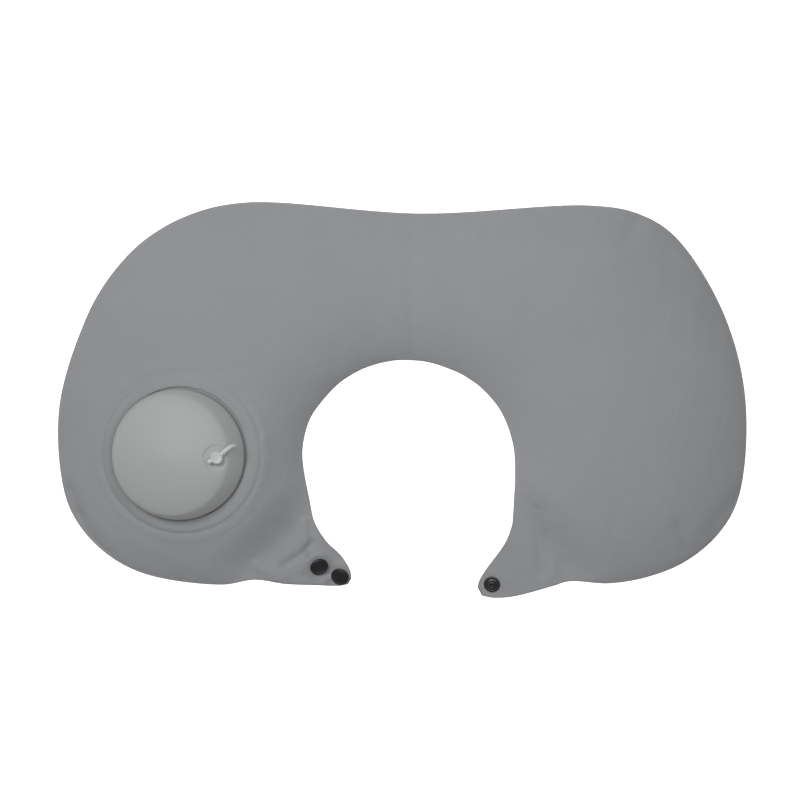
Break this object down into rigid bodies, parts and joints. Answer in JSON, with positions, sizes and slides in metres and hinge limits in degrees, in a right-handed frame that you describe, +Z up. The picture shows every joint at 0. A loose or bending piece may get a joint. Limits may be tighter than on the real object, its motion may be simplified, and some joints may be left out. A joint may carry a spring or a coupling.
{
  "type": "inflatable travel pillow",
  "caption": "U-shaped inflatable neck pillow in plain cloth, with a press pump and plug valve on one lobe and snap tabs that close it under the chin.",
  "frame": {"origin": "on the resting surface, under the middle of the pillow's box", "axes": "+X from the lobe with the pump to the plain lobe, +Y from the neck opening's mouth to the bridge, +Z up out of the pillow's face"},
  "size_m": [0.475, 0.2736, 0.0705],
  "materials": {
    "cloth": "matte fine plain weave",
    "pump_skin": "smooth matte coated skin",
    "valve_plastic": "soft milky plastic",
    "snap_plastic": "satin black moulded"
  },
  "bodies": {
    "root": {"pillow_body": "cloth", "pump_dome": "pump_skin", "valve_stem": "valve_plastic", "valve_cap": "valve_plastic", "snap_cap_inner": "snap_plastic", "snap_socket_inner": "snap_plastic", "snap_cap_outer": "snap_plastic", "snap_socket_outer": "snap_plastic", "snap_stud": "snap_plastic", "snap_stud_cap": "snap_plastic"}
  },
  "joints": []
}
